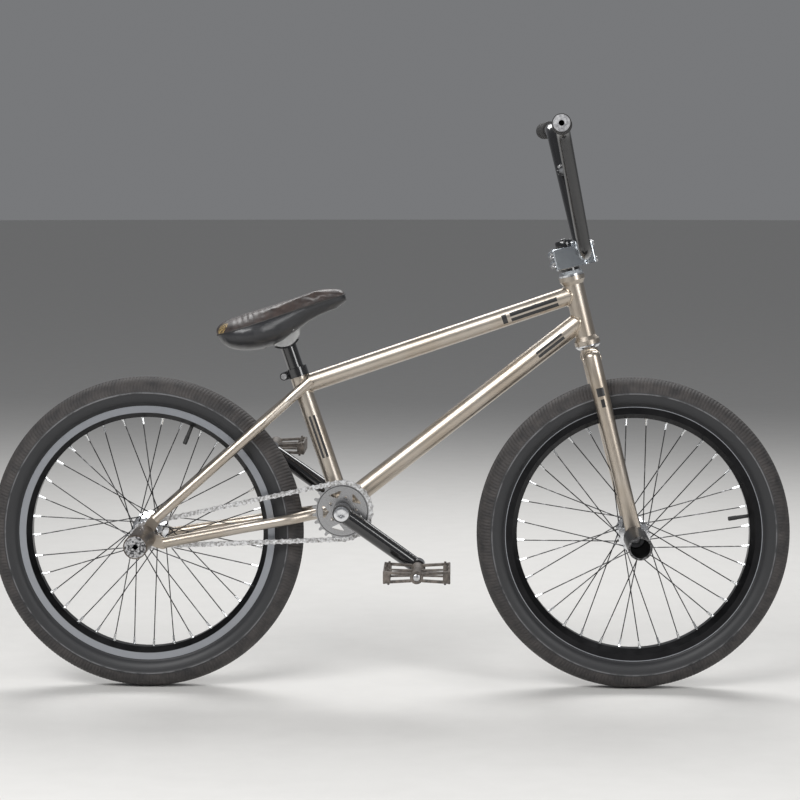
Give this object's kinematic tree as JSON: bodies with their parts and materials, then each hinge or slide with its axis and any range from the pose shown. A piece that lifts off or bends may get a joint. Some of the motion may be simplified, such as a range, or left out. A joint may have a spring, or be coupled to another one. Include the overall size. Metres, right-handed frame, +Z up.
{
  "type": "bmx bike",
  "caption": "Small-framed BMX bike with spoked wheels, high bars with a crossbar, pegs on the drive side, a tilted pivoting seat and flat pedals.",
  "frame": {"origin": "on the ground, midway between the two hubs and in the middle plane of the bike", "axes": "+X towards the front wheel, +Y towards the rider's left, +Z up"},
  "size_m": [1.3034, 0.7222, 0.9282],
  "materials": {
    "raw_steel": "raw steel under clear gloss",
    "black_paint": "gloss black paint",
    "bolt_steel": "plated steel",
    "bearing_steel": "ground steel",
    "silver_alloy": "polished",
    "black_rim": "black anodised",
    "peg_steel": "dark worn steel",
    "sprocket_chrome": "polished",
    "chain_steel": "bright plated",
    "tyre_rubber": "moulded rubber",
    "tube_rubber": "butyl",
    "grip_rubber": "soft rubber",
    "plug_plastic": "grey plastic",
    "black_spokes": "black spokes with plated nipples",
    "pedal_plastic": "worn brown plastic",
    "seat_cover": "dark padded cover"
  },
  "bodies": {
    "frame": {"head_tube": "raw_steel", "top_tube": "raw_steel", "down_tube": "raw_steel", "seat_tube": "raw_steel", "bottom_bracket_shell": "raw_steel", "seat_stays": "raw_steel", "chain_stays": "raw_steel", "rear_dropouts": "raw_steel", "stay_bridges": "raw_steel", "seat_clamp": "black_paint", "seat_clamp_bolt": "bolt_steel", "headset_bearings": "bearing_steel", "bottom_bracket_bearings": "bearing_steel", "rear_axle": "bolt_steel", "rear_axle_nuts": "bolt_steel", "rear_peg": "peg_steel", "chain_inner_links": "chain_steel", "chain_outer_links": "chain_steel"},
    "fork": {"fork_leg_right": "raw_steel", "fork_leg_left": "raw_steel", "fork_steerer": "raw_steel", "headset_crown_race": "silver_alloy", "headset_top_cover": "silver_alloy", "headset_spacer": "black_paint", "stem_body": "silver_alloy", "stem_faceplate": "silver_alloy", "stem_bolts": "bolt_steel", "stem_top_cap": "black_paint", "handlebar": "black_paint", "handlebar_crossbar": "black_paint", "grips": "grip_rubber", "bar_end_plugs": "plug_plastic", "front_axle": "bolt_steel", "front_axle_nuts": "bolt_steel", "front_peg": "peg_steel"},
    "front_wheel": {"front_tyre": "tyre_rubber", "front_inner_tube": "tube_rubber", "front_rim": "black_rim", "front_spokes": "black_spokes", "front_hub_shell": "silver_alloy", "front_hub_bearings": "bearing_steel"},
    "rear_wheel": {"rear_tyre": "tyre_rubber", "rear_inner_tube": "tube_rubber", "rear_rim": "silver_alloy", "rear_spokes": "black_spokes", "rear_hub_shell": "silver_alloy", "rear_hub_bearings": "bearing_steel"},
    "driver": {"rear_driver": "sprocket_chrome"},
    "crank": {"crank_spindle": "bolt_steel", "crank_arm_right": "black_paint", "crank_arm_left": "black_paint", "sprocket": "sprocket_chrome", "crank_end_bolts": "bolt_steel", "pedal_axles": "bolt_steel"},
    "right_pedal": {"pedal_right": "pedal_plastic"},
    "left_pedal": {"pedal_left": "pedal_plastic"},
    "seatpost": {"seatpost": "black_paint", "seat_pivot_bolt": "bolt_steel"},
    "seat": {"seat_base": "silver_alloy", "seat_padding": "seat_cover"}
  },
  "joints": [
    {"name": "steering", "type": "hinge", "parent": "frame", "child": "fork", "pos_m": [0.3964, 0, 0.255], "axis": [-0.2377, 0, 0.9713], "continuous": true},
    {"name": "front_wheel_spin", "type": "hinge", "parent": "fork", "child": "front_wheel", "pos_m": [0.3964, 0, 0.255], "axis": [0, 1, 0], "continuous": true},
    {"name": "rear_wheel_spin", "type": "hinge", "parent": "frame", "child": "rear_wheel", "pos_m": [-0.3964, 0, 0.255], "axis": [0, 1, 0], "continuous": true},
    {"name": "crank_spin", "type": "hinge", "parent": "frame", "child": "crank", "pos_m": [-0.0762, 0, 0.296], "axis": [0, 1, 0], "continuous": true, "deforming": ["chain_inner_links", "chain_outer_links"]},
    {"name": "driver_spin", "type": "hinge", "parent": "frame", "child": "driver", "pos_m": [-0.3964, 0, 0.255], "axis": [0, 1, 0], "continuous": true},
    {"name": "right_pedal_spin", "type": "hinge", "parent": "crank", "child": "right_pedal", "pos_m": [0.04607, 0, 0.20911], "axis": [0, 1, 0], "continuous": true},
    {"name": "left_pedal_spin", "type": "hinge", "parent": "crank", "child": "left_pedal", "pos_m": [-0.19847, 0, 0.38289], "axis": [0, 1, 0], "continuous": true},
    {"name": "seatpost_slide", "type": "slide", "parent": "frame", "child": "seatpost", "axis": [-0.319, 0, 0.9478], "range_m": [-0.02, 0.045]},
    {"name": "seat_tilt", "type": "hinge", "parent": "seatpost", "child": "seat", "pos_m": [-0.17453, 0, 0.5882], "axis": [0, 1, 0], "range_deg": [-8, 8]}
  ],
  "couplings": [
    {"joint": "driver_spin", "follows": "crank_spin", "ratio": 2.5556}
  ]
}
